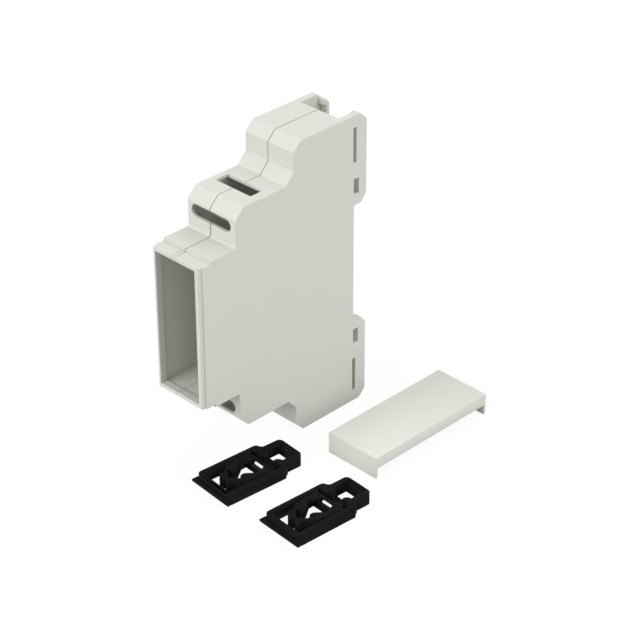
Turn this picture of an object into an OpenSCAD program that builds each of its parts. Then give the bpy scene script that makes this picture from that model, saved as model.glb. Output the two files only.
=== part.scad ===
// Slim housing for a 35 mm top-hat rail, as a kit of parts: two moulded shells that snap
// together round an electronics bay, a front cover, and two sliding rail clips.
// X runs across the module, +Y points back to the rail and +Z up. The origin is the middle
// of the rail seat, so the shells hold the same place in every layout.

/* [Layout] */
// Cover and clips laid out beside the housing, or fitted to it
layout = "apart"; // [apart, fitted]

/* [Housing] */
// Overall height
body_h = 90; // [88:1:110]
// Width of the module across both shells
body_w = 18; // [17.5:0.1:24]
// Distance of the shell joint from mid-width
seam_x = -0.6; // [-1.5:0.1:1.5]
// Wall thickness
wall = 1.6; // [1.3:0.1:2]
// Thickness of the left shell's side wall
left_wall = 0.8; // [0.8:0.1:2]
// Thickness of the terminal shoulders' walls, round the slots
shoulder_wall = 0.9; // [0.8:0.1:2]
// Rail seat to the front rim
front_reach = 56.7; // [52:0.1:70]
// Height of the front plateau, which the cover closes
plateau_h = 44.6; // [36:0.1:55]
// Rail seat to the face of the terminal shoulders
shoulder_reach = 43.7; // [40:0.1:48]
// Height over the terminal shoulders
shoulder_h = 67; // [64:0.1:76]
// Bevel on the shoulder edge
shoulder_bevel = 3; // [1:0.1:5]
// Rail seat to the face of the tall middle
step_reach = 22.6; // [18:0.1:26]
// Length of the ramp from a shoulder to the tall middle
ramp_run = 3; // [1:0.1:5]
// Rise of that ramp
ramp_rise = 3.2; // [1:0.1:5]
// Bevel on the edge of the tall middle
top_bevel = 2.7; // [1:0.1:5]
// Radius that softens the corners of the outline
edge_round = 0.7; // [0.2:0.1:1]

/* [Front rim] */
// Width of the step outside the rim on which the cover's flanges sit
ledge_w = 0.5; // [0.4:0.05:1]
// Depth of that step
ledge_d = 1.1; // [0.6:0.1:2]
// Drop of the plateau ends where the cover's lips lie
strip_drop = 0.85; // [0.6:0.05:1]
// Depth of those end strips
strip_d = 4.2; // [3:0.1:6]
// Thickening inside the rim that the cover's tongues snap behind
rim_step = 0.3; // [0.2:0.05:0.5]
// Depth of that thickening
rim_d = 2.3; // [1.5:0.1:4]
// Width of the tongue by which the right shell laps over the joint at each end of the rim
lap_w = 1; // [0.6:0.1:2]

/* [Wire entries] */
// Length of the round-ended wire slot
wire_slot_l = 14.8; // [10:0.1:14.8]
// Height of the wire slot
wire_slot_h = 3.7; // [3:0.1:5]
// Centre of the wire slot from mid-width
wire_slot_x = -0.3; // [-0.5:0.1:0.5]
// Height of the wire slot's centre above the plateau
wire_slot_up = 5.65; // [4:0.05:7]
// Length of the rectangular slot over the terminals
screw_slot_l = 13.2; // [8:0.1:13.2]
// Width of that slot
screw_slot_w = 4.45; // [3:0.05:6]
// Face of the shoulder to the slot's front edge
screw_slot_in = 8.25; // [5:0.05:10]

/* [Rail and clip channel] */
// Width of the rail
rail_w = 35; // [30:1:42]
// Thickness of the rail's edges
rail_t = 1; // [0.8:0.1:1.5]
// Play between the rail and each lobe
rail_play = 0.6; // [0.3:0.1:1]
// Wall of the lobes beside the clip
lobe_wall = 1.9; // [1.6:0.1:2.4]
// Depth of the clip channel in front of the rail seat
channel_d = 3.5; // [2.5:0.1:5]
// Thickness of the flanges behind the clip
flange_t = 1.2; // [0.8:0.1:1.6]
// Reach of each flange over the clip
flange_w = 2.1; // [1.5:0.1:2.6]
// Bevel on the outer corner of each lobe
lobe_bevel = 2.3; // [1:0.1:3]
// End of the housing to the stop block that keeps the clip in
stop_h = 2.8; // [2.4:0.1:5]
// Depth of the stop block in front of the flange
stop_d = 0.8; // [0.5:0.1:1.2]

/* [Rail clip] */
// Thickness of the clip
clip_t = 3.65; // [3:0.05:4.4]
// Thickness of its rail hook
hook_t = 2.4; // [1.8:0.1:2.6]
// Length of hook that bites behind the rail
hook_bite = 1; // [0.8:0.1:1.4]
// Play beside the clip
clip_play = 0.25; // [0.15:0.05:0.4]
// Play in front of and behind the clip
slide_play = 0.1; // [0.05:0.05:0.2]
// Travel of the clip before its shoulders meet the stop blocks
clip_travel = 3.7; // [1.6:0.1:4]
// Length of the tab beyond the end of the housing
tab_proud = 0.5; // [0:0.1:2]
// Thickness of the frame's side bars
bar_w = 1.1; // [0.9:0.1:1.5]
// Thickness of a spring arm at its root
arm_root = 0.8; // [0.7:0.1:1.2]
// Thickness of a spring arm at its tip
arm_tip = 0.9; // [0.6:0.1:1.2]
// Diameter of the pin at a spring arm's tip
arm_pin_d = 1.9; // [1.4:0.1:2.4]

/* [Front cover] */
// Thickness of the cover's plate
cover_t = 1.5; // [1:0.1:2]
// Distance from the front rim to the outer face of the cover
cover_off = 2.5; // [2:0.1:4]
// Play between the cover and the rim
cover_play = 0.1; // [0.05:0.05:0.2]
// Length of each snap tongue
tongue_l = 8; // [5:0.5:12]
// Thickness of each snap tongue
tongue_t = 1; // [0.8:0.1:1.5]
// Distance between the snap tongues along the cover
tongue_pitch = 24; // [16:1:28]

/* [Inside] */
// Width of a snap hook between the shells
snap_w = 4; // [3:0.5:5]
// Thickness of a snap hook
snap_t = 1; // [0.8:0.1:1.4]
// Depth to which a snap hook reaches into the left shell
snap_l = 3.6; // [3:0.1:5]
// Step of the hook's barb
snap_step = 0.5; // [0.3:0.1:0.7]
// Diameter of a circuit board post
post_d = 4; // [3:0.5:5]
// Height of a circuit board post
post_h = 4.5; // [3:0.5:6]
// Diameter of the screw hole in a post
post_bore = 1.6; // [1.2:0.1:2]

/* [Hidden] */
$fn = 48;
e = 0.01;

// Shade of the moulded plastic
light_grey = [0.82, 0.83, 0.79];
black = [0.06, 0.06, 0.065];

// Places in the width
side_x = body_w / 2;
rim_x = side_x - ledge_w;
// Inner face of a shell's side wall and of its rim, s = 1 right and s = -1 left
function cavity_x(s) = side_x - (s > 0 ? wall : left_wall);
function mouth_x(s) = cavity_x(s) - rim_step;
lobe_x = side_x - lobe_wall;
flange_x = lobe_x - flange_w;

// Places along Y, from the rail forwards and back
rim_y = -front_reach;
strip_y = rim_y + strip_d;
hook_front = rail_t + slide_play;
clip_back = hook_front + hook_t;
clip_front = clip_back - clip_t;
flange_y = clip_back + slide_play;
lobe_y = flange_y + flange_t;
guide_y = clip_front - slide_play;
stop_y = flange_y - stop_d;

// Places in the height
top_z = body_h / 2;
plateau_z = plateau_h / 2;
shoulder_z = shoulder_h / 2;
strip_z = plateau_z - strip_drop;
mouth_z = plateau_z - wall - rim_step;
lobe_end = rail_w / 2 + rail_play;
hook_tip = rail_w / 2 - hook_bite;
hook_l = lobe_end + slide_play - hook_tip;
stop_z = top_z - stop_h;
stop_top = 1.2;
guide_end = top_z - 4.6;

// Lengths along a clip, from the tip of its hook to the end of its tab
clip_w = 2 * (lobe_x - clip_play);
tab_w = 2 * (flange_x - slide_play);
clip_l = top_z + tab_proud - hook_tip;
clip_shoulder = stop_z - clip_travel - hook_tip;
bar_end = hook_l + 1.2;
cross_s = clip_shoulder - 4.2;
cross_t = 0.6;
cross_h = 1;
pin_s = bar_end + 3.5;
cam_s = cross_s - 7;
cam_x = 3.1;
cam_r = 1.6;
arm_gap = 0.7;
window_x = clip_w / 2 - bar_w;
lug_s = clip_shoulder - 2;
lug_l = 3;
lug_x = 1.95;
lug_under = 1.2;
hole_s = lug_s + lug_l - 0.2;
hole_end = clip_l - 1.6;
hole_x = tab_w / 2 - 1.5;

// Depth of the cover's flanges and lips behind its outer face
cover_flange = cover_off + ledge_d - cover_play / 2;
cover_lip = cover_off + strip_d - cover_play;
flange_wall = 1.2;

// The loose pieces lie beside the housing, on the surface it stands on: the cover to the
// right, the clips in a row in front of both with the ends of their tabs towards the cover
cover_place = [body_w + 13.3, -0.95];
clip_row_y = cover_place[1] - plateau_h / 2 - 8.6;
upper_clip_place = [side_x + 7.6, clip_row_y - 0.2];
lower_clip_place = [cover_place[0] + 10.7, clip_row_y + 0.1];

// Groove that marks the shell joint
seam_gap = 0.12;
seam_d = 0.18;
// Tongue that lines the shells up
joint_l = 1;
joint_play = 0.1;

// Outline helpers
function unit(v) = v / norm(v);
function at(p, i) = p[(i + len(p)) % len(p)];
function turned(v, a) = [v[0] * cos(a) - v[1] * sin(a), v[0] * sin(a) + v[1] * cos(a)];

// Moves every edge of an outline inwards, edge i by d[i]
function edge_normal(p, i) = let(u = unit(at(p, i + 1) - at(p, i))) [-u[1], u[0]];
function inset(p, d) = [for (i = [0 : len(p) - 1])
    let(m = edge_normal(p, i - 1), n = edge_normal(p, i), a = at(d, i - 1), b = at(d, i))
    p[i] + [a * n[1] - b * m[1], b * m[0] - a * n[0]] / (m[0] * n[1] - m[1] * n[0])];
function same(p, d) = [for (q = p) d];

// Rounds every corner of an outline with a short arc of radius r
function corner(a, b, c, r, n) =
    let(u = unit(a - b), w = unit(c - b), h = acos(u * w) / 2,
        t = min(r / tan(h), 0.45 * norm(a - b), 0.45 * norm(c - b)),
        k = b + unit(u + w) * t / cos(h), s = b + u * t - k, f = b + w * t - k,
        turn = atan2(cross(s, f), s * f))
    [for (i = [0 : n]) k + turned(s, turn * i / n)];
function soften(p, r, n = 3) = [for (i = [0 : len(p) - 1])
    each corner(at(p, i - 1), p[i], at(p, i + 1), r, n)];

// Closes a half outline above the mid-height with its mirror image below
function mirrored(h) = concat([for (q = h) [q[0], -q[1]]], [for (i = [len(h) - 1 : -1 : 0]) h[i]]);

// Outline of both shells in the Y-Z plane, from the front to the tall middle
front_half = [
    [rim_y, plateau_z],
    [-shoulder_reach, plateau_z],
    [-shoulder_reach, shoulder_z - shoulder_bevel],
    [-shoulder_reach + shoulder_bevel, shoulder_z],
    [-step_reach - ramp_run, shoulder_z],
    [-step_reach, shoulder_z + ramp_rise],
    [-step_reach, top_z - top_bevel],
    [-step_reach + top_bevel, top_z]];
// The bay itself ends at the clip channels; the side plates run on round the rail
bay_half = concat(front_half, [[-channel_d, top_z], [-channel_d, lobe_end], [0, lobe_end]]);
plate_half = concat(front_half, [
    [lobe_y - lobe_bevel, top_z],
    [lobe_y, top_z - lobe_bevel],
    [lobe_y, lobe_end + 2.3],
    [lobe_y - 2, lobe_end],
    [0, lobe_end]]);
bay = mirrored(bay_half);
plate = mirrored(plate_half);
// Walls of the bay: thin round the shoulders, and at the open front as deep as the rim
half_walls = [for (i = [0 : len(bay_half) - 2]) i >= 1 && i <= 3 ? shoulder_wall : wall];
bay_walls = concat(half_walls, [wall], [for (i = [len(half_walls) - 1 : -1 : 0]) half_walls[i]], [rim_d]);

// A flat piece of the given outline between two places in the width
module slab(xa, xb, outline) {
    translate([min(xa, xb), 0, 0]) rotate([90, 0, 90])
        linear_extrude(abs(xb - xa)) polygon(outline);
}

// A box between two corners
module block(a, b) {
    translate([min(a[0], b[0]), min(a[1], b[1]), min(a[2], b[2])])
        cube([abs(b[0] - a[0]), abs(b[1] - a[1]), abs(b[2] - a[2])]);
}

// Draws its children above the mid-height and again, mirrored, below
module both_ends() {
    children();
    mirror([0, 0, 1]) children();
}

// One open shell from the joint out to the side face, s = 1 right and s = -1 left
module shell_blank(s) {
    difference() {
        union() {
            slab(seam_x + s * seam_gap, s * side_x, soften(bay, edge_round));
            slab(seam_x, seam_x + s * (seam_gap + e), soften(inset(bay, same(bay, seam_d)), edge_round));
            slab(s * lobe_x, s * side_x, soften(plate, edge_round));
            both_ends() channel_parts(s);
        }
        slab(seam_x - s * 3, s * cavity_x(s), inset(bay, bay_walls));
        // Mouth of the housing
        block([seam_x - s * 3, rim_y - 1, -mouth_z], [s * mouth_x(s), rim_y + rim_d + e, mouth_z]);
        // Steps for the cover: side ledges and end strips
        block([s * rim_x, rim_y - 1, -top_z], [s * (side_x + 1), rim_y + ledge_d, top_z]);
        both_ends() {
            block([-side_x - 1, rim_y - 1, strip_z], [side_x + 1, strip_y, plateau_z + 1]);
            wire_slot();
            screw_slot();
            windows(s);
        }
    }
}

// Flange, stop block and guide rib that hold a clip, and half of the cam between its arms
module channel_parts(s) {
    intersection() {
        slab(s * flange_x, s * (lobe_x + e), soften(plate, edge_round));
        union() {
            block([s * flange_x, flange_y, guide_end - 11.4], [s * side_x, lobe_y + 1, top_z]);
            block([s * flange_x, stop_y, stop_z], [s * side_x, lobe_y + 1, top_z - stop_top]);
        }
    }
    block([s * (lobe_x - 1), guide_y - 1.2, lobe_end + 2], [s * (lobe_x + e), guide_y, guide_end]);
    // Cam: a wedge that the arms ride up when the clip is drawn out
    intersection() {
        translate([0, -channel_d - e, 0]) rotate([-90, 0, 0]) linear_extrude(channel_d + clip_back - 0.6)
            polygon([for (q = [[-1.2, 1.4], [1.2, 1.4], [2.7, 4.8], [-2.7, 4.8]])
                [q[0], -(hook_tip + cam_s + q[1] - 0.3)]]);
        block([seam_x, -channel_d - 1, 0], [s * side_x, lobe_y, top_z]);
    }
}

// Openings in the lobe wall beside the clip
module windows(s) {
    block([s * (lobe_x - e), guide_y, guide_end - 9.4], [s * (side_x + 1), guide_y + 1.2, guide_end + 1.1]);
    block([s * (lobe_x - e), 0, lobe_end + 3.3], [s * (side_x + 1), 1.95, lobe_end + 7.9]);
}

// Round-ended slot through the face of a shoulder
module wire_slot() {
    r = wire_slot_h / 2;
    z = plateau_z + wire_slot_up;
    for (s = [-1, 1])
        translate([wire_slot_x + s * (wire_slot_l / 2 - r), -shoulder_reach + wall + 1, z])
            rotate([90, 0, 0]) cylinder(r = r, h = wall + 2);
    block([wire_slot_x - wire_slot_l / 2 + r, -shoulder_reach - 1, z - r],
          [wire_slot_x + wire_slot_l / 2 - r, -shoulder_reach + wall + 1, z + r]);
}

// Rectangular slot through the top of a shoulder, over the terminals
module screw_slot() {
    y = -shoulder_reach + screw_slot_in;
    block([seam_x - screw_slot_l / 2, y, shoulder_z - wall - 1],
          [seam_x + screw_slot_l / 2, y + screw_slot_w, shoulder_z + 1]);
}

// Ring along the joint, between two depths in the wall, that lines the shells up. It leaves
// out the rim, and the thin shoulders, where snap hooks hold instead
module joint_ring(x0, x1, d0, d1) {
    difference() {
        slab(x0, x1, inset(bay, same(bay, d0)));
        slab(x0 - 1, x1 + 1, inset(bay, [for (i = [0 : len(bay) - 1]) i == len(bay) - 1 ? rim_d + 1 : d1]));
        block([x0 - 1, rim_y - 1, -plateau_z], [x1 + 1, strip_y + 1, plateau_z]);
        both_ends()
            block([x0 - 1, -shoulder_reach - 1, plateau_z - wall - 1], [x1 + 1, -step_reach - ramp_run, top_z]);
    }
}

// Tongue of the right shell that laps over the joint at an end of the rim, or the room for it
module lap(play) {
    block([seam_x - lap_w - play, rim_y - play, mouth_z - play],
          [seam_x + 0.5, rim_y + rim_d + e, strip_z + play]);
    block([seam_x - lap_w - play, rim_y + rim_d, plateau_z - wall - play],
          [seam_x + 0.5, strip_y - seam_gap + play, strip_z + play]);
}

// Snap hook in the right shell: a strip under an outer wall with a barb at its end
module snap_hook(y, z) {
    translate([0, y, z]) {
        block([seam_x - snap_l, -snap_w / 2, -snap_t - joint_play], [seam_x + 4, snap_w / 2, -joint_play]);
        block([seam_x + 1, -snap_w / 2, -snap_t], [seam_x + 4, snap_w / 2, shoulder_wall / 2]);
        translate([seam_x - snap_l, snap_w / 2, -joint_play - e]) rotate([90, 0, 0])
            linear_extrude(snap_w) polygon([[0, 0], [1.4, 0], [1.4, snap_step], [0.9, snap_step]]);
    }
}

// Pocket in the left shell for the barb of a snap hook
module snap_pocket(y, z) {
    translate([0, y, z])
        block([seam_x - snap_l - 0.1, -snap_w / 2 - 0.2, -1], [seam_x - snap_l + 1.5, snap_w / 2 + 0.2, snap_step]);
}

// The hooks sit under the top of the tall middle and under the shoulders
module at_snaps() {
    both_ends() {
        children(0);
        children(1);
    }
}
snap_top = [-step_reach + top_bevel + 8, top_z - wall];
snap_shoulder = [-step_reach - ramp_run - snap_w / 2 + 0.3, shoulder_z - shoulder_wall];

module left_shell() {
    color(light_grey) {
        difference() {
            shell_blank(-1);
            joint_ring(seam_x - joint_l - joint_play, seam_x + 1, wall / 2 - joint_play, wall + 1);
            both_ends() lap(seam_gap);
            at_snaps() {
                snap_pocket(snap_top[0], snap_top[1]);
                snap_pocket(snap_shoulder[0], snap_shoulder[1]);
            }
        }
        // Posts for a circuit board that lies along the module
        for (y = [-step_reach - ramp_run - 8, -channel_d - wall - 5], z = [-shoulder_z + 10, shoulder_z - 10])
            translate([-cavity_x(-1) - e, y, z]) rotate([0, 90, 0]) difference() {
                cylinder(d = post_d, h = post_h);
                translate([0, 0, 1]) cylinder(d = post_bore, h = post_h);
            }
    }
}

module right_shell() {
    color(light_grey) {
        shell_blank(1);
        both_ends() lap(0);
        difference() {
            joint_ring(seam_x - joint_l, seam_x + 2, wall / 2, wall);
            both_ends() {
                wire_slot();
                screw_slot();
            }
            at_snaps() {
                block([seam_x - 3, snap_top[0] - 3, snap_top[1] - 2], [seam_x, snap_top[0] + 3, top_z]);
                block([seam_x - 3, snap_shoulder[0] - 3, snap_shoulder[1] - 2],
                      [seam_x, snap_shoulder[0] + 3, shoulder_z]);
            }
        }
        at_snaps() {
            snap_hook(snap_top[0], snap_top[1]);
            snap_hook(snap_shoulder[0], snap_shoulder[1]);
        }
    }
}

// The cover with its outer face down at z = 0, long way along Y
module cover_shape() {
    l = plateau_h;
    t_lip = strip_drop - cover_play;
    t_side = ledge_w - cover_play;
    difference() {
        translate([-side_x, -l / 2, 0]) cube([body_w, l, cover_lip]);
        translate([-side_x + flange_wall, -l / 2 + t_lip, cover_t])
            cube([body_w - 2 * flange_wall, l - 2 * t_lip, cover_lip]);
        // Rebate that fits over the rim
        translate([-side_x + t_side, -l / 2 + t_lip, cover_off - cover_play])
            cube([body_w - 2 * t_side, l - 2 * t_lip, cover_lip]);
        for (s = [-1, 1])
            block([s * (side_x + 1), -l / 2 + t_lip, cover_flange], [0, l / 2 - t_lip, cover_lip + 1]);
    }
    // Tongues that snap behind the thick part of the rim
    for (s = [-1, 1], y = [-tongue_pitch / 2, tongue_pitch / 2])
        translate([0, y + tongue_l / 2, 0]) rotate([90, 0, 0]) linear_extrude(tongue_l)
            polygon([for (q = [
                [tongue_t, cover_t - e], [0, cover_t - e], [0, cover_off + rim_d + 0.1],
                [-rim_step + 0.05 - cover_play, cover_off + rim_d + 0.25], [0.1, cover_lip - 0.4],
                [tongue_t, cover_lip - 0.4]])
                [s * (mouth_x(s) - cover_play - q[0]), q[1]]]);
}

module front_cover() {
    color(light_grey)
        if (layout == "fitted")
            translate([0, rim_y - cover_off, 0]) rotate([-90, 0, 0]) cover_shape();
        else
            translate([cover_place[0], cover_place[1], -top_z + cover_lip]) rotate([180, 0, -0.4]) cover_shape();
}

// Middle line of a spring arm, from its root at the crossbar to the pin at its tip
function arm_point(t) =
    let(a = [window_x - arm_gap - arm_root / 2, cross_s], b = [window_x - 0.8, cam_s - 0.3], c = [1.25, pin_s])
    (1 - t) * (1 - t) * a + 2 * t * (1 - t) * b + t * t * c;
function arm_side(t, s) =
    let(u = unit(arm_point(t + 0.01) - arm_point(t - 0.01)))
    arm_point(t) + s * (arm_root + (arm_tip - arm_root) * t) / 2 * [-u[1], u[0]];

// Spring arm with its cam lobe and end pin, as a flat outline
module arm_outline() {
    polygon(concat([for (i = [0 : 10]) arm_side(i / 10, 1)], [for (i = [10 : -1 : 0]) arm_side(i / 10, -1)]));
    translate([cam_x, cam_s]) circle(r = cam_r);
    polygon([[window_x - arm_gap - arm_root / 2, cross_s - 2.4], [cam_x - cam_r * sin(50), cam_s + cam_r * cos(50)],
             [cam_x, cam_s], [window_x - arm_gap - arm_root / 2, cam_s + 1]]);
    translate([1.25, pin_s]) circle(d = arm_pin_d);
}

// Frame of the clip as a flat outline: a wide part that slides in the channel, a narrow tab
module clip_outline() {
    difference() {
        polygon(soften([
            [-clip_w / 2, hook_l], [clip_w / 2, hook_l], [clip_w / 2, clip_shoulder],
            [tab_w / 2, clip_shoulder + 0.6], [tab_w / 2, clip_l], [-tab_w / 2, clip_l],
            [-tab_w / 2, clip_shoulder + 0.6], [-clip_w / 2, clip_shoulder]], 1.3, 6));
        // Window round the spring arms
        translate([-window_x, bar_end]) square([2 * window_x, cross_s - bar_end]);
        // Slot between the crossbar and the lugs
        translate([-window_x, cross_s + cross_t]) square([2 * window_x, lug_s - cross_s - cross_t]);
        // Space between the lugs, open to the hole in the tab
        translate([-lug_x - lug_l / 2, lug_s - e]) square([2 * lug_x + lug_l, lug_l + 1]);
        translate([-hole_x, hole_s]) square([2 * hole_x, hole_end - hole_s]);
    }
    for (s = [-1, 1]) {
        mirror([s > 0 ? 0 : 1, 0]) arm_outline();
        // Rounded lug ends, and the corner that ties the arm's root to the frame
        translate([s * (lug_x + lug_l / 2), lug_s + lug_l / 2]) circle(d = lug_l);
        translate([s * (window_x - 0.9) - 0.9, cross_s - 0.5]) square([1.8, 0.8]);
    }
}

// A rail clip on its back, hook towards -Y, with the tip of its hook at the origin
module clip_shape() {
    difference() {
        union() {
            linear_extrude(clip_t) clip_outline();
            // Rail hook, bevelled so that it rides over the rail's edge
            translate([-clip_w / 2, 0, 0]) rotate([90, 0, 90]) linear_extrude(clip_w)
                polygon([[0, hook_t - 0.6], [0, hook_t], [hook_l + 0.5, hook_t], [hook_l + 0.5, 0], [hook_l - 0.2, 0]]);
            // Low bridge between the lugs
            translate([-window_x, lug_s + 1.8, 0]) cube([2 * window_x, lug_l - 1.8, 1.35]);
        }
        // Room under the crossbar and under the lugs
        translate([-2.8, cross_s - 0.5, -e]) cube([5.6, cross_t + 1, clip_t - cross_h]);
        translate([-window_x, lug_s - e, -e]) cube([2 * window_x, 1.8, lug_under]);
        // Ramp for the screwdriver at the end of the tab
        translate([-hole_x, 0, 0]) rotate([90, 0, 90]) linear_extrude(2 * hole_x)
            polygon([[hole_end - 1, clip_t + e], [hole_end - 1, clip_t - 1.5], [hole_end, clip_t - 1.5],
                     [hole_end + 1.2, clip_t + e]]);
    }
}

// Places a clip: in its channel, or on its back with the end of its tab at a place
module clip_in_channel() {
    translate([0, clip_back, hook_tip]) rotate([90, 0, 0]) clip_shape();
}
module clip_laid(place, turn) {
    translate([place[0], place[1], -top_z]) rotate([0, 0, turn]) translate([0, -clip_l, 0]) clip_shape();
}

module rail_clip_upper() {
    color(black)
        if (layout == "fitted") clip_in_channel();
        else clip_laid(upper_clip_place, -5.3);
}

module rail_clip_lower() {
    color(black)
        if (layout == "fitted") mirror([0, 0, 1]) clip_in_channel();
        else clip_laid(lower_clip_place, -4.2);
}

left_shell();
right_shell();
front_cover();
rail_clip_upper();
rail_clip_lower();
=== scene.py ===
# %% [markdown]
# # A slim rail housing, laid out as a kit
# The object is a small plastic housing that clips on a 35 mm rail in a distribution board. It stands
# with its front open. Beside it lie the cover that snaps over the front, and the two black spring
# clips that slide into the back and hold it on the rail.
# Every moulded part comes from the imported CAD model, in metres. This lesson gives those parts their
# plastics and sets them on a white studio floor under soft light.

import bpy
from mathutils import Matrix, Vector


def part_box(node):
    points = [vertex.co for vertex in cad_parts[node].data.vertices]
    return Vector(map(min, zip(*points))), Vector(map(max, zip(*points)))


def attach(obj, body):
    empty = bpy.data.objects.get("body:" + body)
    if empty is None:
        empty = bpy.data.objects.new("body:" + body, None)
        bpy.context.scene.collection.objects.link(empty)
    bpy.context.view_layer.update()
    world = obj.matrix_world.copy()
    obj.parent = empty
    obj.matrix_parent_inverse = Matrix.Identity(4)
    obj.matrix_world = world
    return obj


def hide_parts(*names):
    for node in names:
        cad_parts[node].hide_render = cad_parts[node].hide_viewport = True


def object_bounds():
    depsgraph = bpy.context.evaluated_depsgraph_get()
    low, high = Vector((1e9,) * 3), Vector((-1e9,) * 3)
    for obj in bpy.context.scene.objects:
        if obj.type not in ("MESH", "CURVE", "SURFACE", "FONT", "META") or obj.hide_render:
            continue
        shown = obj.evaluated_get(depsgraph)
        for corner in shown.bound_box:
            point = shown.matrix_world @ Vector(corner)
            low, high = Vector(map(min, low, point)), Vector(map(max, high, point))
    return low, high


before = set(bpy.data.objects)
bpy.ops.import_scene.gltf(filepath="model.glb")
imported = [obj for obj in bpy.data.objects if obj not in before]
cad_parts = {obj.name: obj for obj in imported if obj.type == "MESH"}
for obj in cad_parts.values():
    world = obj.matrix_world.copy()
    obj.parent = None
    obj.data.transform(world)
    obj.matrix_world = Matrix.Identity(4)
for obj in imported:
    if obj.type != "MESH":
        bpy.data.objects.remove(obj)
cad_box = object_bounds()
print("CAD nodes:", sorted(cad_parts))
print("CAD box in mm:", [[round(v * 1000, 2) for v in corner] for corner in cad_box])

# %% Measures that the later cells share
import math
import bpy
from mathutils import Vector

MM = 0.001
floor_z = cad_box[0].z
housing_low, housing_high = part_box("right_shell")
cover_low, cover_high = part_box("front_cover")
housing_height = housing_high.z - housing_low.z
print("floor at z =", round(floor_z / MM, 2), "mm; housing is", round(housing_height / MM, 2), "mm high")

# %% [markdown]
# ## Rail clips
# Each clip is one nylon moulding, 3.65 mm thick: a frame that slides in the housing's channel, a
# hook for the rail at its front end, a tab with a hole for a screwdriver at the other, and two
# spring arms in its window that grip a cam. The CAD solid has the outline and the springs. The
# crossbar of that solid is slimmer than the real one, so the finished piece gets a full crossbar
# with a window under its top rib. It also gets the web between the lugs, and rounded edges.
# The clip could be drawn again from nothing, but the CAD mesh already has its outline, so a copy of
# that mesh is turned square to the axes and worked on there. It is modelled once, then copied, and
# each copy is laid where its CAD solid lies.

# %% Helpers for picking and cutting
def pick(piece):
    """Selects one object alone and makes it the active one."""
    bpy.ops.object.select_all(action="DESELECT")
    piece.select_set(True)
    bpy.context.view_layer.objects.active = piece


def corners(piece):
    """Lowest and highest corner of a mesh object that sits at the origin."""
    points = [vertex.co for vertex in piece.data.vertices]
    lowest = Vector([min(point[axis] for point in points) for axis in range(3)])
    highest = Vector([max(point[axis] for point in points) for axis in range(3)])
    return lowest, highest


def copy_of(name, mesh):
    """A new object with its own copy of a mesh."""
    piece = bpy.data.objects.new(name, mesh.copy())
    bpy.context.scene.collection.objects.link(piece)
    return piece


def merge_facets(piece):
    """Welds the doubled corners of a CAD mesh and dissolves the edges inside its flat faces."""
    pick(piece)
    bpy.ops.object.mode_set(mode="EDIT")
    bpy.ops.mesh.select_all(action="SELECT")
    bpy.ops.mesh.remove_doubles(threshold=0.001 * MM)
    bpy.ops.mesh.dissolve_limited(angle_limit=math.radians(0.5))
    bpy.ops.object.mode_set(mode="OBJECT")


def round_edges(piece, width):
    """Bevels every edge sharper than 40 degrees, then smooths the shading of the shallow ones."""
    edges = piece.modifiers.new("rounded_edges", "BEVEL")
    edges.width = width
    edges.segments = 2
    edges.limit_method = "ANGLE"
    edges.angle_limit = math.radians(40)
    edges.use_clamp_overlap = True
    pick(piece)
    bpy.ops.object.modifier_apply(modifier=edges.name)
    bpy.ops.object.shade_smooth_by_angle(angle=math.radians(35))


def block(low, high):
    """A box between two corners, in mm, made from a primitive cube."""
    low = Vector(low) * MM
    high = Vector(high) * MM
    bpy.ops.object.select_all(action="DESELECT")
    bpy.ops.mesh.primitive_cube_add(size=1, location=(low + high) / 2, scale=high - low)
    bpy.ops.object.transform_apply(location=True, rotation=True, scale=True)
    return bpy.context.object


def combine(piece, tool, operation):
    """Joins a tool body to a piece, or cuts it out, and removes the tool."""
    pick(piece)
    step = piece.modifiers.new("combine", "BOOLEAN")
    step.operation = operation
    step.object = tool
    step.solver = "EXACT"
    bpy.ops.object.modifier_apply(modifier=step.name)
    bpy.data.objects.remove(tool)


def move(piece, turn, shift):
    """Turns a piece about the Z axis through the origin, in degrees, shifts it and applies both."""
    pick(piece)
    piece.rotation_euler.z = math.radians(turn)
    piece.location = shift
    bpy.ops.object.transform_apply(location=True, rotation=True, scale=True)


# %% A square copy of the CAD clip
clip_turns = {"rail_clip_upper": -5.3, "rail_clip_lower": -4.2}
clip = copy_of("spring_clip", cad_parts["rail_clip_upper"].data)
move(clip, -clip_turns["rail_clip_upper"], (0, 0, 0))
clip_low, clip_high = corners(clip)
clip_origin = Vector(((clip_low.x + clip_high.x) / 2, clip_low.y, clip_low.z))
move(clip, 0, -clip_origin)
merge_facets(clip)
clip_low, clip_high = corners(clip)
clip_size = [round(v / MM, 2) for v in clip_high - clip_low]
print("clip, squared up:", clip_size, "mm,", len(clip.data.polygons), "faces")

# %% [markdown]
# The arms leave the crossbar at two strong roots. The crossbar itself is a low wall with a thin
# rib above it, and a window between the two shows the ground behind. One lug is lower than the
# other, and the arms end in round pins that nearly touch. In the lines below, X runs across the
# clip, Y along it from the tip of the hook, and Z up through its thickness, all in mm.

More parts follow.
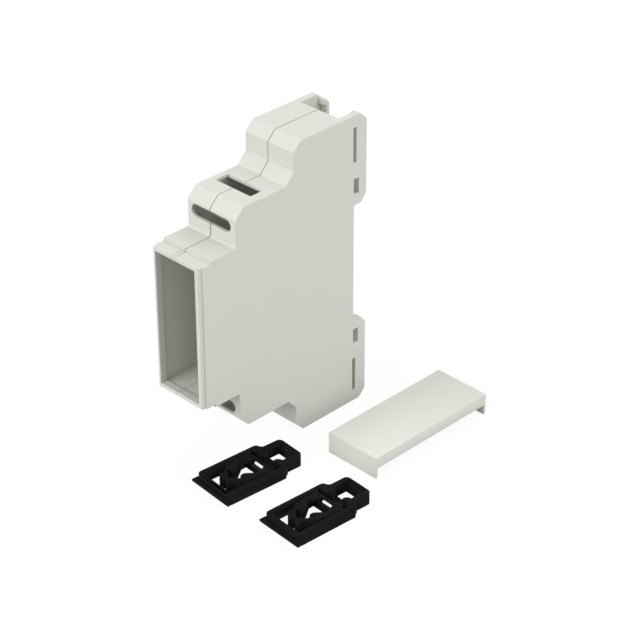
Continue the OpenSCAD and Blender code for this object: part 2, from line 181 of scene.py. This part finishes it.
# %% Roots, crossbar and pins
cross_front = 17.8
cross_back = 18.4
thick = 3.65
root_start = 14.0
root_base = 2.0
root_inner = 2.2
root_outer = 4.6
root_slant = 1.7
margin = 0.5
pin_radius = 1.15
pin_x = 1.28
pin_y = 6.5
pin_sides = 28
for side in (-1, 1):
    inner, outer = sorted((side * root_inner, side * root_outer))
    root = block((inner, root_start, root_base), (outer, cross_front + 0.1, thick))
    pick(root)
    bpy.ops.object.mode_set(mode="EDIT")
    bpy.ops.mesh.select_all(action="DESELECT")
    bpy.ops.object.mode_set(mode="OBJECT")
    for vertex in root.data.vertices:
        at_start = vertex.co.y < (root_start + margin) * MM
        at_inside = abs(vertex.co.x) < (root_inner + margin) * MM
        vertex.select = at_start and at_inside
    bpy.ops.object.mode_set(mode="EDIT")
    bpy.ops.transform.translate(value=(side * root_slant * MM, 0, 0))
    bpy.ops.object.mode_set(mode="OBJECT")
    combine(clip, root, "UNION")
    bpy.ops.object.select_all(action="DESELECT")
    bpy.ops.mesh.primitive_cylinder_add(
        vertices=pin_sides, radius=pin_radius * MM, depth=thick * MM,
        location=(side * pin_x * MM, pin_y * MM, thick / 2 * MM))
    bpy.ops.object.transform_apply(location=True, rotation=True, scale=True)
    combine(clip, bpy.context.object, "UNION")
web_top = 1.35
low_wall = block((-4.4, 16.5, 0), (4.4, 16.85, 2.9))
combine(clip, low_wall, "UNION")
top_rib = block((-3, cross_front, 2.5), (3, cross_back, thick))
combine(clip, top_rib, "UNION")
window = block((-1.9, cross_front - 0.2, 2.4), (1.9, cross_back + 0.2, 2.85))
combine(clip, window, "DIFFERENCE")
web = block((-5.6, 21.3, 0), (5.6, 22.2, web_top))
combine(clip, web, "UNION")
lug_cut = block((1.4, 19.9, web_top), (5.75, 21.2, thick + 0.1))
combine(clip, lug_cut, "DIFFERENCE")
print("clip:", len(clip.data.polygons), "faces")

# %% [markdown]
# A Bevel modifier takes every sharp edge off. It comes last, because it would make the earlier
# cuts messy. Edges that meet at a shallow angle, as on the curved arms, are left alone.

# %% Round the edges, then lay the copies down
round_edges(clip, 0.12 * MM)
clips = {}
for node, turn in clip_turns.items():
    piece = copy_of(node.replace("rail_clip", "spring_clip"), clip.data)
    move(piece, turn, (0, 0, 0))
    shift = [(a + b) / 2 - (c + d) / 2 for a, b, c, d in zip(*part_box(node), *corners(piece))]
    move(piece, 0, shift)
    clips[node] = piece
    error = [round((a - b) / MM, 3) for a, b in zip(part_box(node)[0], corners(piece)[0])]
    print(piece.name, "off its solid by", error)
bpy.data.objects.remove(clip)

# %% [markdown]
# ## Front cover
# The cover is a shallow cap. Its long walls end well above the ground, and it stands on the two
# deeper lips at its ends. Inside the long walls of the CAD solid are snap tongues that hang 2.65 mm
# below the walls. The real cover shows nothing there, so the finished copy has them cut flush, and
# keeps no snaps of its own. The same bevel gives it the softly broken edges of a moulding.

# %% Cover with flush tongues and soft edges
cover = copy_of("snap_cover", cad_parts["front_cover"].data)
merge_facets(cover)
wall_end = 3.55
lip_room = 1.1
overshoot = 1
below_walls = block(
    (cover_low.x / MM - overshoot, cover_low.y / MM + lip_room, floor_z / MM - overshoot),
    (cover_high.x / MM + overshoot, cover_high.y / MM - lip_room, cover_high.z / MM - wall_end))
combine(cover, below_walls, "DIFFERENCE")
round_edges(cover, 0.15 * MM)
cover_box = [[round(v / MM, 2) for v in corner] for corner in corners(cover)]
print("cover:", len(cover.data.polygons), "faces, box", cover_box)

# %% [markdown]
# ## Helpers for node trees
# A material or a node group is a tree of nodes and links. Three small helpers keep the recipes
# below short: one adds a node and sets its inputs, one links two sockets, and one declares a
# socket on the outside of a group.

# %% Node helpers
# The colour sockets of a Mix node share their names with its other kinds, so they go by number.
MIX_A = 6
MIX_B = 7
MIX_RESULT = 2


def add(tree, kind, inputs=None, **settings):
    """Adds a node, sets its properties, then its inputs: a value, or a socket to link."""
    node = tree.nodes.new("ShaderNode" + kind)
    for name, value in settings.items():
        setattr(node, name, value)
    for name, value in (inputs or {}).items():
        if isinstance(value, bpy.types.NodeSocket):
            tree.links.new(value, node.inputs[name])
        else:
            node.inputs[name].default_value = value
    return node


def new_group(name, inputs, outputs):
    """An empty shader group. Inputs are (name, kind, default), outputs are (name, kind)."""
    tree = bpy.data.node_groups.new(name, "ShaderNodeTree")
    for socket, kind, default in inputs:
        made = tree.interface.new_socket(socket, in_out="INPUT", socket_type="NodeSocket" + kind)
        made.default_value = default
    for socket, kind in outputs:
        tree.interface.new_socket(socket, in_out="OUTPUT", socket_type="NodeSocket" + kind)
    return tree, tree.nodes.new("NodeGroupInput"), tree.nodes.new("NodeGroupOutput")


def use(tree, group, **inputs):
    """Places a group in a tree and sets its inputs, with spaces in their names as underscores."""
    node = tree.nodes.new("ShaderNodeGroup")
    node.node_tree = group
    for name, value in inputs.items():
        socket = node.inputs[name.replace("_", " ")]
        if isinstance(value, bpy.types.NodeSocket):
            tree.links.new(value, socket)
        else:
            socket.default_value = value
    return node


# %% [markdown]
# ## Spark-eroded grain
# The steel mould of such a housing is finished by spark erosion, which leaves tiny overlapping
# craters, and the plastic copies them. That gives the satin look. The grain is a fine noise on
# Object coordinates, so it keeps its real size on every part and doesn't stretch.
# The group also gives a slow, weak mottling, because the melt never fills a mould quite evenly.

# %% Group: moulded grain
grain, g_in, g_out = new_group(
    "moulded_grain",
    [("Grain Size", "Float", 0.25), ("Mottle Size", "Float", 14.0)],
    [("Height", "Float"), ("Mottle", "Float")])
place = add(grain, "TexCoord").outputs["Object"]
per_metre = 1 / MM
fine = add(grain, "Math", {0: per_metre, 1: g_in.outputs["Grain Size"]}, operation="DIVIDE")
slow = add(grain, "Math", {0: per_metre, 1: g_in.outputs["Mottle Size"]}, operation="DIVIDE")
craters = add(grain, "TexVoronoi", {"Vector": place, "Scale": fine.outputs[0]}, feature="SMOOTH_F1")
speckle = add(grain, "TexNoise", {"Vector": place, "Scale": fine.outputs[0], "Detail": 3.0})
both = add(grain, "Math", {0: craters.outputs["Distance"], 1: speckle.outputs["Fac"]}, operation="ADD")
flow = add(grain, "TexNoise", {"Vector": place, "Scale": slow.outputs[0], "Detail": 2.0, "Roughness": 0.6})
grain.links.new(both.outputs[0], g_out.inputs["Height"])
grain.links.new(flow.outputs["Fac"], g_out.inputs["Mottle"])
print("group", grain.name, "has", len(grain.nodes), "nodes")

# %% [markdown]
# ## Soft edges
# No moulded edge is knife sharp. A Bevel node finds the rounded normal near an edge, and how far it
# leans from the true normal is a mask for the edge. The mask lightens the edge a little: partly wear,
# because edges are where a part is rubbed first, and partly a painted highlight for the light that a
# rounded edge catches. The rounded normal also lets the edge catch the light.

# %% Group: soft edge
soft, s_in, s_out = new_group(
    "soft_edge", [("Radius", "Float", 0.3 * MM)], [("Normal", "Vector"), ("Edge", "Float")])
rounded = add(soft, "Bevel", {"Radius": s_in.outputs["Radius"]}, samples=6)
true_normal = add(soft, "NewGeometry").outputs["Normal"]
lean = add(soft, "VectorMath", {0: rounded.outputs["Normal"], 1: true_normal}, operation="DOT_PRODUCT")
mask = add(soft, "MapRange", {"Value": lean.outputs["Value"], "From Min": 0.99, "From Max": 0.75})
soft.links.new(rounded.outputs["Normal"], s_out.inputs["Normal"])
soft.links.new(mask.outputs["Result"], s_out.inputs["Edge"])
print("group", soft.name, "has", len(soft.nodes), "nodes")

# %% [markdown]
# ## The joint between the shells
# Where the two shells meet there is a fine groove. Little light gets in, and a trace of dust stays
# there, so the groove reads as a dark line. A mask on the X coordinate darkens the plastic within
# it, as painted shade with a trace of dust: the distance from the joint's plane, turned into a value
# from 1 at the joint to 0 outside.

# %% Group: joint line
joint, j_in, j_out = new_group(
    "joint_line", [("Joint X", "Float", 0.0), ("Half Width", "Float", 0.15 * MM)], [("Mask", "Float")])
place = add(joint, "TexCoord").outputs["Object"]
across = add(joint, "SeparateXYZ", {"Vector": place}).outputs["X"]
offset = add(joint, "Math", {0: across, 1: j_in.outputs["Joint X"]}, operation="SUBTRACT")
distance = add(joint, "Math", {0: offset.outputs[0]}, operation="ABSOLUTE")
inside = add(joint, "MapRange", {"Value": distance.outputs[0], "From Min": j_in.outputs["Half Width"],
                                 "From Max": 0.0, "To Min": 0.0, "To Max": 1.0},
             interpolation_type="SMOOTHSTEP")
joint.links.new(inside.outputs["Result"], j_out.inputs["Mask"])
joint_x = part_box("left_shell")[1].x
print("joint at x =", round(joint_x / MM, 2), "mm")

# %% [markdown]
# ## The plastics
# One recipe serves all three plastics: a Principled shader whose colour varies with the mottling
# and the edge mask, whose roughness varies with the mottling, and whose normal is the rounded one
# with the grain on top.

# %% Recipe for a moulded plastic
def plastic(name, shade, mottled, edge_wear_and_highlight, rough, grain_mm, grain_depth, edge_mm, specular, joint_shade_and_dust_colour=None):
    """All colours are linear: shade and mottled for the body, the edge colour partly wear and partly a
    painted highlight, the joint colour painted shade with a trace of dust. rough is (lowest, highest).
    """
    material = bpy.data.materials.new(name)
    material.use_nodes = True
    tree = material.node_tree
    shader = tree.nodes["Principled BSDF"]
    shader.inputs["Specular IOR Level"].default_value = specular
    texture = use(tree, grain, Grain_Size=grain_mm, Mottle_Size=14.0)
    edge = use(tree, soft, Radius=edge_mm * MM)
    body = add(tree, "Mix", {"Factor": texture.outputs["Mottle"], MIX_A: (*shade, 1), MIX_B: (*mottled, 1)},
               data_type="RGBA")
    # Painted highlight with some wear: the edge mask mixes a lighter colour in at the edges, for the light a
    # rounded edge catches and for rubbing.
    colour = add(tree, "Mix", {"Factor": edge.outputs["Edge"], MIX_A: body.outputs[MIX_RESULT],
                               MIX_B: (*edge_wear_and_highlight, 1)}, data_type="RGBA")
    roughness = add(tree, "MapRange", {"Value": texture.outputs["Mottle"], "From Min": 0.3, "From Max": 0.7,
                                       "To Min": rough[0], "To Max": rough[1]})
    bump = add(tree, "Bump", {"Height": texture.outputs["Height"], "Strength": 0.25,
                              "Distance": grain_depth * MM, "Normal": edge.outputs["Normal"]})
    # Painted shade with a trace of dust: along the joint the colour is mixed towards a dark one, unevenly by
    # the mottling.
    if joint_shade_and_dust_colour:
        line = use(tree, joint, Joint_X=joint_x, Half_Width=0.2 * MM)
        uneven = add(tree, "MapRange", {"Value": texture.outputs["Mottle"], "From Min": 0.4, "From Max": 0.6,
                                        "To Min": 0.15, "To Max": 1.0})
        joint_shade_and_dust = add(tree, "Math", {0: line.outputs["Mask"], 1: uneven.outputs["Result"]}, operation="MULTIPLY")
        colour = add(tree, "Mix", {"Factor": joint_shade_and_dust.outputs[0], MIX_A: colour.outputs[MIX_RESULT],
                                   MIX_B: (*joint_shade_and_dust_colour, 1)}, data_type="RGBA")
    tree.links.new(colour.outputs[MIX_RESULT], shader.inputs["Base Color"])
    tree.links.new(roughness.outputs["Result"], shader.inputs["Roughness"])
    tree.links.new(bump.outputs["Normal"], shader.inputs["Normal"])
    return material


# The lighter edge colour of each plastic is partly wear and partly a painted highlight on its edges.
shell_plastic = plastic(
    "shell_plastic", shade=(0.597, 0.612, 0.556), mottled=(0.612, 0.627, 0.572), edge_wear_and_highlight=(0.65, 0.665, 0.612),
    rough=(0.46, 0.56), grain_mm=0.22, grain_depth=0.02, edge_mm=0.3, specular=0.35,
    joint_shade_and_dust_colour=(0.16, 0.165, 0.145))
cover_plastic = plastic(
    "cover_plastic", shade=(0.615, 0.630, 0.576), mottled=(0.628, 0.643, 0.590), edge_wear_and_highlight=(0.67, 0.685, 0.633),
    rough=(0.42, 0.52), grain_mm=0.2, grain_depth=0.015, edge_mm=0.25, specular=0.35)
clip_nylon = plastic(
    "clip_nylon", shade=(0.0075, 0.0076, 0.0066), mottled=(0.0105, 0.0106, 0.0094),
    edge_wear_and_highlight=(0.021, 0.021, 0.019), rough=(0.36, 0.5), grain_mm=0.18, grain_depth=0.015, edge_mm=0.15,
    specular=0.02)

# %% Give each part its plastic
def finish(piece, material):
    """Puts one material on a whole piece."""
    if not piece.material_slots:
        piece.data.materials.append(material)
    for place_in_list in piece.material_slots:
        place_in_list.material = material
    print(piece.name, "->", material.name, "with", len(piece.data.polygons), "faces")


for name in ("left_shell", "right_shell"):
    finish(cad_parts[name], shell_plastic)
finish(cover, cover_plastic)
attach(cover, "root")
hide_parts("front_cover")
for node, piece in clips.items():
    finish(piece, clip_nylon)
    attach(piece, "root")
    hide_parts(node)

# %% [markdown]
# ## Studio
# A large floor carries the parts. To the camera and to reflections it is almost pure white and
# keeps only a trace of the shadow. To the rest of the light it is an ordinary pale surface that
# bounces light back up. The world works in the same way: white to see, softer as a lamp.

# %% Which rays see pure white
def seen_directly(tree):
    """Nodes that give 1 for rays from the camera, a reflection or a clear material, and 0 for the rest."""
    rays = add(tree, "LightPath")
    first = add(tree, "Math", {0: rays.outputs["Is Camera Ray"], 1: rays.outputs["Is Glossy Ray"]},
                operation="MAXIMUM")
    return add(tree, "Math", {0: first.outputs[0], 1: rays.outputs["Is Transmission Ray"]},
               operation="MAXIMUM")


# %% Floor
bpy.ops.object.select_all(action="DESELECT")
bpy.ops.mesh.primitive_plane_add(size=6, location=(0, 0, floor_z))
floor = bpy.context.object
floor.name = "studio_floor"
paper = bpy.data.materials.new("studio_paper")
paper.use_nodes = True
tree = paper.node_tree
tree.nodes.remove(tree.nodes["Principled BSDF"])
seen = seen_directly(tree)
bounce = add(tree, "BsdfDiffuse", {"Color": (0.55, 0.55, 0.55, 1)})
shaded = add(tree, "BsdfDiffuse", {"Color": (0.95, 0.95, 0.95, 1)})
white = add(tree, "Emission", {"Color": (1, 1, 1, 1), "Strength": 1.0})
look = add(tree, "MixShader", {0: 0.06, 1: white.outputs[0], 2: shaded.outputs[0]})
final = add(tree, "MixShader", {0: seen.outputs[0], 1: bounce.outputs[0], 2: look.outputs[0]})
tree.links.new(final.outputs[0], tree.nodes["Material Output"].inputs["Surface"])
floor.data.materials.append(paper)

# %% World
world = bpy.data.worlds.new("studio_air")
bpy.context.scene.world = world
world.use_nodes = True
tree = world.node_tree
seen = seen_directly(tree)
strength = add(tree, "MapRange", {"Value": seen.outputs[0], "To Min": 0.55, "To Max": 1.0})
tree.links.new(strength.outputs["Result"], tree.nodes["Background"].inputs["Strength"])
tree.nodes["Background"].inputs["Color"].default_value = (1, 1, 1, 1)

# %% Lamps
def soft_sun(name, azimuth, elevation, strength, spread):
    """A sun that shines from an azimuth (0 is the front, 90 the right) and elevation, in degrees."""
    lamp = bpy.data.lights.new(name, "SUN")
    lamp.energy = strength * math.pi
    lamp.angle = math.radians(spread)
    sun = bpy.data.objects.new(name, lamp)
    bpy.context.scene.collection.objects.link(sun)
    around = math.radians(azimuth)
    up = math.radians(elevation)
    towards = Vector((math.sin(around) * math.cos(up), -math.cos(around) * math.cos(up), math.sin(up)))
    sun.rotation_euler = towards.to_track_quat("Z", "Y").to_euler()
    return sun


soft_sun("key_lamp", azimuth=-12, elevation=30, strength=0.61, spread=50)
soft_sun("fill_lamp", azimuth=102, elevation=18, strength=0.35, spread=40)
soft_sun("back_lamp", azimuth=165, elevation=62, strength=0.28, spread=60)

# %% [markdown]
# ## Camera
# A long lens from the front right, a little above, as in a catalogue picture: it keeps the
# upright edges nearly parallel.

# %% Camera
camera_data = bpy.data.cameras.new("catalogue_camera")
camera = bpy.data.objects.new("catalogue_camera", camera_data)
bpy.context.scene.collection.objects.link(camera)
bpy.context.scene.camera = camera
azimuth = math.radians(44.38)
elevation = math.radians(31.52)
level = math.cos(elevation)
ahead = Vector((-math.sin(azimuth) * level, math.cos(azimuth) * level, -math.sin(elevation)))
camera.location = (0.381757, -0.389619, 0.312992)
camera.rotation_euler = ahead.to_track_quat("-Z", "Y").to_euler()
camera_data.sensor_width = 36
camera_data.lens = 127.8
camera_data.shift_x = -0.0176
camera_data.shift_y = -0.0025
camera_data.clip_end = 10
bpy.context.scene.view_settings.view_transform = "Standard"
